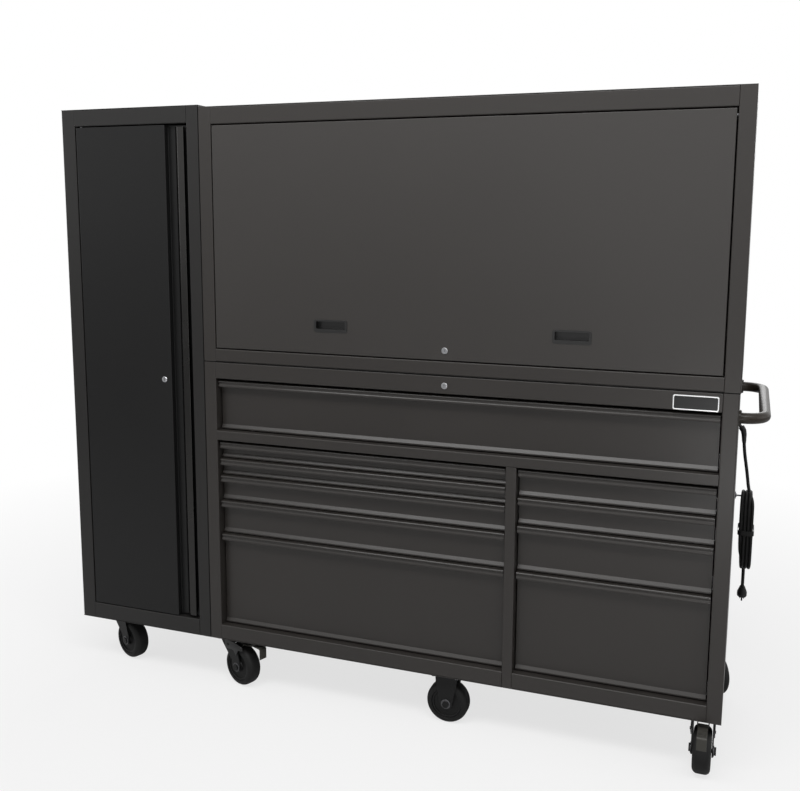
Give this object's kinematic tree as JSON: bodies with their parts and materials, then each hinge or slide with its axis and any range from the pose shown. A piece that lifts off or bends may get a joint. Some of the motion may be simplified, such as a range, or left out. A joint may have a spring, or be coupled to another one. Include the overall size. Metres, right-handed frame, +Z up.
{
  "type": "rolling tool cabinet with hutch and side locker",
  "caption": "Rolling tool storage set: wide drawer cabinet on casters with a flip-up-door hutch on top, a tall side locker, push handle and power lead.",
  "frame": {"origin": "centre of the footprint, on the floor, at the middle of the overall width and depth", "axes": "+X to the right along the front, from the locker to the push handle; +Y from the drawer fronts to the back; +Z up"},
  "size_m": [2.1174, 0.682, 1.815],
  "materials": {
    "wheel_rubber": "dense black tread",
    "caster_steel": "zinc plated pressing",
    "pedal_steel": "dull plated pressing",
    "bolt_steel": "zinc plated",
    "slide_steel": "bright zinc",
    "drawer_paint": "satin black powder coat",
    "case_paint": "satin black powder coat",
    "shelf_paint": "satin black powder coat",
    "door_paint": "satin black powder coat",
    "pull_plastic": "moulded black",
    "pull_aluminium": "black anodised extrusion",
    "pin_steel": "bright",
    "lock_chrome": "bright chrome",
    "strut_paint": "black lacquer",
    "strut_chrome": "ground and plated",
    "handle_paint": "satin black powder coat",
    "strip_plastic": "moulded black",
    "gland_plastic": "moulded black",
    "cord_rubber": "black sheath",
    "plug_rubber": "moulded black"
  },
  "bodies": {
    "carcass": {"cabinet_case": "case_paint", "hutch_case": "case_paint", "locker_case": "case_paint", "locker_shelves": "shelf_paint", "slide_rails": "slide_steel", "hinge_pins": "pin_steel", "push_handle": "handle_paint", "caster_plates": "caster_steel", "caster_bolts": "bolt_steel", "rigid_forks": "caster_steel", "power_strip": "strip_plastic", "cord_gland": "gland_plastic", "power_cord": "cord_rubber", "cord_hank": "cord_rubber", "cord_plug": "plug_rubber"},
    "drawer_top": {"drawer_top": "drawer_paint"},
    "slides_top": {"slides_top": "slide_steel"},
    "drawer_left_1": {"drawer_left_1": "drawer_paint"},
    "slides_left_1": {"slides_left_1": "slide_steel"},
    "drawer_left_2": {"drawer_left_2": "drawer_paint"},
    "slides_left_2": {"slides_left_2": "slide_steel"},
    "drawer_left_3": {"drawer_left_3": "drawer_paint"},
    "slides_left_3": {"slides_left_3": "slide_steel"},
    "drawer_left_4": {"drawer_left_4": "drawer_paint"},
    "slides_left_4": {"slides_left_4": "slide_steel"},
    "drawer_left_5": {"drawer_left_5": "drawer_paint"},
    "slides_left_5": {"slides_left_5": "slide_steel"},
    "drawer_right_1": {"drawer_right_1": "drawer_paint"},
    "slides_right_1": {"slides_right_1": "slide_steel"},
    "drawer_right_2": {"drawer_right_2": "drawer_paint"},
    "slides_right_2": {"slides_right_2": "slide_steel"},
    "drawer_right_3": {"drawer_right_3": "drawer_paint"},
    "slides_right_3": {"slides_right_3": "slide_steel"},
    "drawer_right_4": {"drawer_right_4": "drawer_paint"},
    "slides_right_4": {"slides_right_4": "slide_steel"},
    "hutch_door": {"hutch_door": "door_paint", "door_pulls": "pull_plastic"},
    "hutch_lock": {"hutch_lock": "lock_chrome"},
    "strut_cylinders": {"strut_cylinders": "strut_paint"},
    "strut_rods": {"strut_rods": "strut_chrome"},
    "locker_door": {"locker_door": "door_paint", "locker_door_pull": "pull_aluminium"},
    "locker_lock": {"locker_lock": "lock_chrome"},
    "cabinet_lock": {"cabinet_lock": "lock_chrome"},
    "fork_locker_front": {"fork_locker_front": "caster_steel"},
    "wheel_locker_front": {"wheel_locker_front": "wheel_rubber"},
    "fork_locker_rear": {"fork_locker_rear": "caster_steel"},
    "wheel_locker_rear": {"wheel_locker_rear": "wheel_rubber"},
    "fork_left_front": {"fork_left_front": "caster_steel"},
    "wheel_left_front": {"wheel_left_front": "wheel_rubber"},
    "pedal_left_front": {"pedal_left_front": "pedal_steel"},
    "fork_left_rear": {"fork_left_rear": "caster_steel"},
    "wheel_left_rear": {"wheel_left_rear": "wheel_rubber"},
    "fork_right_front": {"fork_right_front": "caster_steel"},
    "wheel_right_front": {"wheel_right_front": "wheel_rubber"},
    "pedal_right_front": {"pedal_right_front": "pedal_steel"},
    "fork_right_rear": {"fork_right_rear": "caster_steel"},
    "wheel_right_rear": {"wheel_right_rear": "wheel_rubber"},
    "wheel_centre_front": {"wheel_centre_front": "wheel_rubber"},
    "wheel_centre_rear": {"wheel_centre_rear": "wheel_rubber"}
  },
  "joints": [
    {"name": "drawer_top_slide", "type": "slide", "parent": "carcass", "child": "drawer_top", "axis": [0, -1, 0], "range_m": [0, 0.48]},
    {"name": "slides_top_slide", "type": "slide", "parent": "carcass", "child": "slides_top", "axis": [0, -1, 0], "range_m": [0, 0.24]},
    {"name": "drawer_left_1_slide", "type": "slide", "parent": "carcass", "child": "drawer_left_1", "axis": [0, -1, 0], "range_m": [0, 0.48]},
    {"name": "slides_left_1_slide", "type": "slide", "parent": "carcass", "child": "slides_left_1", "axis": [0, -1, 0], "range_m": [0, 0.24]},
    {"name": "drawer_left_2_slide", "type": "slide", "parent": "carcass", "child": "drawer_left_2", "axis": [0, -1, 0], "range_m": [0, 0.48]},
    {"name": "slides_left_2_slide", "type": "slide", "parent": "carcass", "child": "slides_left_2", "axis": [0, -1, 0], "range_m": [0, 0.24]},
    {"name": "drawer_left_3_slide", "type": "slide", "parent": "carcass", "child": "drawer_left_3", "axis": [0, -1, 0], "range_m": [0, 0.48]},
    {"name": "slides_left_3_slide", "type": "slide", "parent": "carcass", "child": "slides_left_3", "axis": [0, -1, 0], "range_m": [0, 0.24]},
    {"name": "drawer_left_4_slide", "type": "slide", "parent": "carcass", "child": "drawer_left_4", "axis": [0, -1, 0], "range_m": [0, 0.48]},
    {"name": "slides_left_4_slide", "type": "slide", "parent": "carcass", "child": "slides_left_4", "axis": [0, -1, 0], "range_m": [0, 0.24]},
    {"name": "drawer_left_5_slide", "type": "slide", "parent": "carcass", "child": "drawer_left_5", "axis": [0, -1, 0], "range_m": [0, 0.48]},
    {"name": "slides_left_5_slide", "type": "slide", "parent": "carcass", "child": "slides_left_5", "axis": [0, -1, 0], "range_m": [0, 0.24]},
    {"name": "drawer_right_1_slide", "type": "slide", "parent": "carcass", "child": "drawer_right_1", "axis": [0, -1, 0], "range_m": [0, 0.48]},
    {"name": "slides_right_1_slide", "type": "slide", "parent": "carcass", "child": "slides_right_1", "axis": [0, -1, 0], "range_m": [0, 0.24]},
    {"name": "drawer_right_2_slide", "type": "slide", "parent": "carcass", "child": "drawer_right_2", "axis": [0, -1, 0], "range_m": [0, 0.48]},
    {"name": "slides_right_2_slide", "type": "slide", "parent": "carcass", "child": "slides_right_2", "axis": [0, -1, 0], "range_m": [0, 0.24]},
    {"name": "drawer_right_3_slide", "type": "slide", "parent": "carcass", "child": "drawer_right_3", "axis": [0, -1, 0], "range_m": [0, 0.48]},
    {"name": "slides_right_3_slide", "type": "slide", "parent": "carcass", "child": "slides_right_3", "axis": [0, -1, 0], "range_m": [0, 0.24]},
    {"name": "drawer_right_4_slide", "type": "slide", "parent": "carcass", "child": "drawer_right_4", "axis": [0, -1, 0], "range_m": [0, 0.48]},
    {"name": "slides_right_4_slide", "type": "slide", "parent": "carcass", "child": "slides_right_4", "axis": [0, -1, 0], "range_m": [0, 0.24]},
    {"name": "hutch_door_hinge", "type": "hinge", "parent": "carcass", "child": "hutch_door", "pos_m": [0.20735, -0.266, 1.738], "axis": [-1, 0, 0], "range_deg": [0, 90]},
    {"name": "hutch_lock_turn", "type": "hinge", "parent": "hutch_door", "child": "hutch_lock", "pos_m": [0.20235, -0.275, 1.122], "axis": [0, 1, 0], "range_deg": [0, 90]},
    {"name": "strut_cylinders_hinge", "type": "hinge", "parent": "carcass", "child": "strut_cylinders", "pos_m": [0.20735, -0.227, 1.732], "axis": [-1, 0, 0], "range_deg": [0, 80.62]},
    {"name": "strut_rods_slide", "type": "slide", "parent": "strut_cylinders", "child": "strut_rods", "axis": [0, -0.1027, -0.9947], "range_m": [0, 0.04446]},
    {"name": "locker_door_hinge", "type": "hinge", "parent": "carcass", "child": "locker_door", "pos_m": [-0.99115, -0.266, 0.988], "axis": [0, 0, -1], "range_deg": [0, 110]},
    {"name": "locker_lock_turn", "type": "hinge", "parent": "locker_door", "child": "locker_lock", "pos_m": [-0.71065, -0.275, 0.986], "axis": [0, 1, 0], "range_deg": [0, 90]},
    {"name": "cabinet_lock_turn", "type": "hinge", "parent": "carcass", "child": "cabinet_lock", "pos_m": [0.20235, -0.275, 1.023], "axis": [0, 1, 0], "range_deg": [0, 90]},
    {"name": "swivel_locker_front", "type": "hinge", "parent": "carcass", "child": "fork_locker_front", "pos_m": [-0.96465, -0.174, 0.14792], "axis": [0, 0, 1], "continuous": true},
    {"name": "roll_locker_front", "type": "hinge", "parent": "fork_locker_front", "child": "wheel_locker_front", "pos_m": [-0.92903, -0.18725, 0.0635], "axis": [0.3486, 0.9373, 0], "continuous": true},
    {"name": "swivel_locker_rear", "type": "hinge", "parent": "carcass", "child": "fork_locker_rear", "pos_m": [-0.96465, 0.237, 0.14792], "axis": [0, 0, 1], "continuous": true},
    {"name": "roll_locker_rear", "type": "hinge", "parent": "fork_locker_rear", "child": "wheel_locker_rear", "pos_m": [-0.92778, 0.24619, 0.0635], "axis": [-0.2419, 0.9703, 0], "continuous": true},
    {"name": "swivel_left_front", "type": "hinge", "parent": "carcass", "child": "fork_left_front", "pos_m": [-0.51465, -0.216, 0.14792], "axis": [0, 0, 1], "continuous": true},
    {"name": "roll_left_front", "type": "hinge", "parent": "fork_left_front", "child": "wheel_left_front", "pos_m": [-0.47903, -0.22925, 0.0635], "axis": [0.3486, 0.9373, 0], "continuous": true},
    {"name": "brake_left_front", "type": "hinge", "parent": "fork_left_front", "child": "pedal_left_front", "pos_m": [-0.46779, -0.23343, 0.137], "axis": [0.3486, 0.9373, 0], "range_deg": [0, 12]},
    {"name": "swivel_left_rear", "type": "hinge", "parent": "carcass", "child": "fork_left_rear", "pos_m": [-0.51265, 0.271, 0.14792], "axis": [0, 0, 1], "continuous": true},
    {"name": "roll_left_rear", "type": "hinge", "parent": "fork_left_rear", "child": "wheel_left_rear", "pos_m": [-0.47793, 0.28646, 0.0635], "axis": [-0.4067, 0.9135, 0], "continuous": true},
    {"name": "swivel_right_front", "type": "hinge", "parent": "carcass", "child": "fork_right_front", "pos_m": [0.93435, -0.2, 0.14792], "axis": [0, 0, 1], "continuous": true},
    {"name": "roll_right_front", "type": "hinge", "parent": "fork_right_front", "child": "wheel_right_front", "pos_m": [0.93435, -0.238, 0.0635], "axis": [1, 0, 0], "continuous": true},
    {"name": "brake_right_front", "type": "hinge", "parent": "fork_right_front", "child": "pedal_right_front", "pos_m": [0.93435, -0.25, 0.137], "axis": [1, 0, 0], "range_deg": [0, 12]},
    {"name": "swivel_right_rear", "type": "hinge", "parent": "carcass", "child": "fork_right_rear", "pos_m": [0.93135, 0.273, 0.14792], "axis": [0, 0, 1], "continuous": true},
    {"name": "roll_right_rear", "type": "hinge", "parent": "fork_right_rear", "child": "wheel_right_rear", "pos_m": [0.94919, 0.23945, 0.0635], "axis": [0.8829, 0.4695, 0], "continuous": true},
    {"name": "roll_centre_front", "type": "hinge", "parent": "carcass", "child": "wheel_centre_front", "pos_m": [0.20935, -0.219, 0.0635], "axis": [0, 1, 0], "continuous": true},
    {"name": "roll_centre_rear", "type": "hinge", "parent": "carcass", "child": "wheel_centre_rear", "pos_m": [0.20935, 0.277, 0.0635], "axis": [0, 1, 0], "continuous": true}
  ],
  "couplings": [
    {"joint": "slides_top_slide", "follows": "drawer_top_slide", "ratio": 0.5},
    {"joint": "slides_left_1_slide", "follows": "drawer_left_1_slide", "ratio": 0.5},
    {"joint": "slides_left_2_slide", "follows": "drawer_left_2_slide", "ratio": 0.5},
    {"joint": "slides_left_3_slide", "follows": "drawer_left_3_slide", "ratio": 0.5},
    {"joint": "slides_left_4_slide", "follows": "drawer_left_4_slide", "ratio": 0.5},
    {"joint": "slides_left_5_slide", "follows": "drawer_left_5_slide", "ratio": 0.5},
    {"joint": "slides_right_1_slide", "follows": "drawer_right_1_slide", "ratio": 0.5},
    {"joint": "slides_right_2_slide", "follows": "drawer_right_2_slide", "ratio": 0.5},
    {"joint": "slides_right_3_slide", "follows": "drawer_right_3_slide", "ratio": 0.5},
    {"joint": "slides_right_4_slide", "follows": "drawer_right_4_slide", "ratio": 0.5},
    {"joint": "strut_cylinders_hinge", "follows": "hutch_door_hinge", "ratio": 0.89562},
    {"joint": "strut_rods_slide", "follows": "hutch_door_hinge", "m_per_rad": 0.028297}
  ]
}
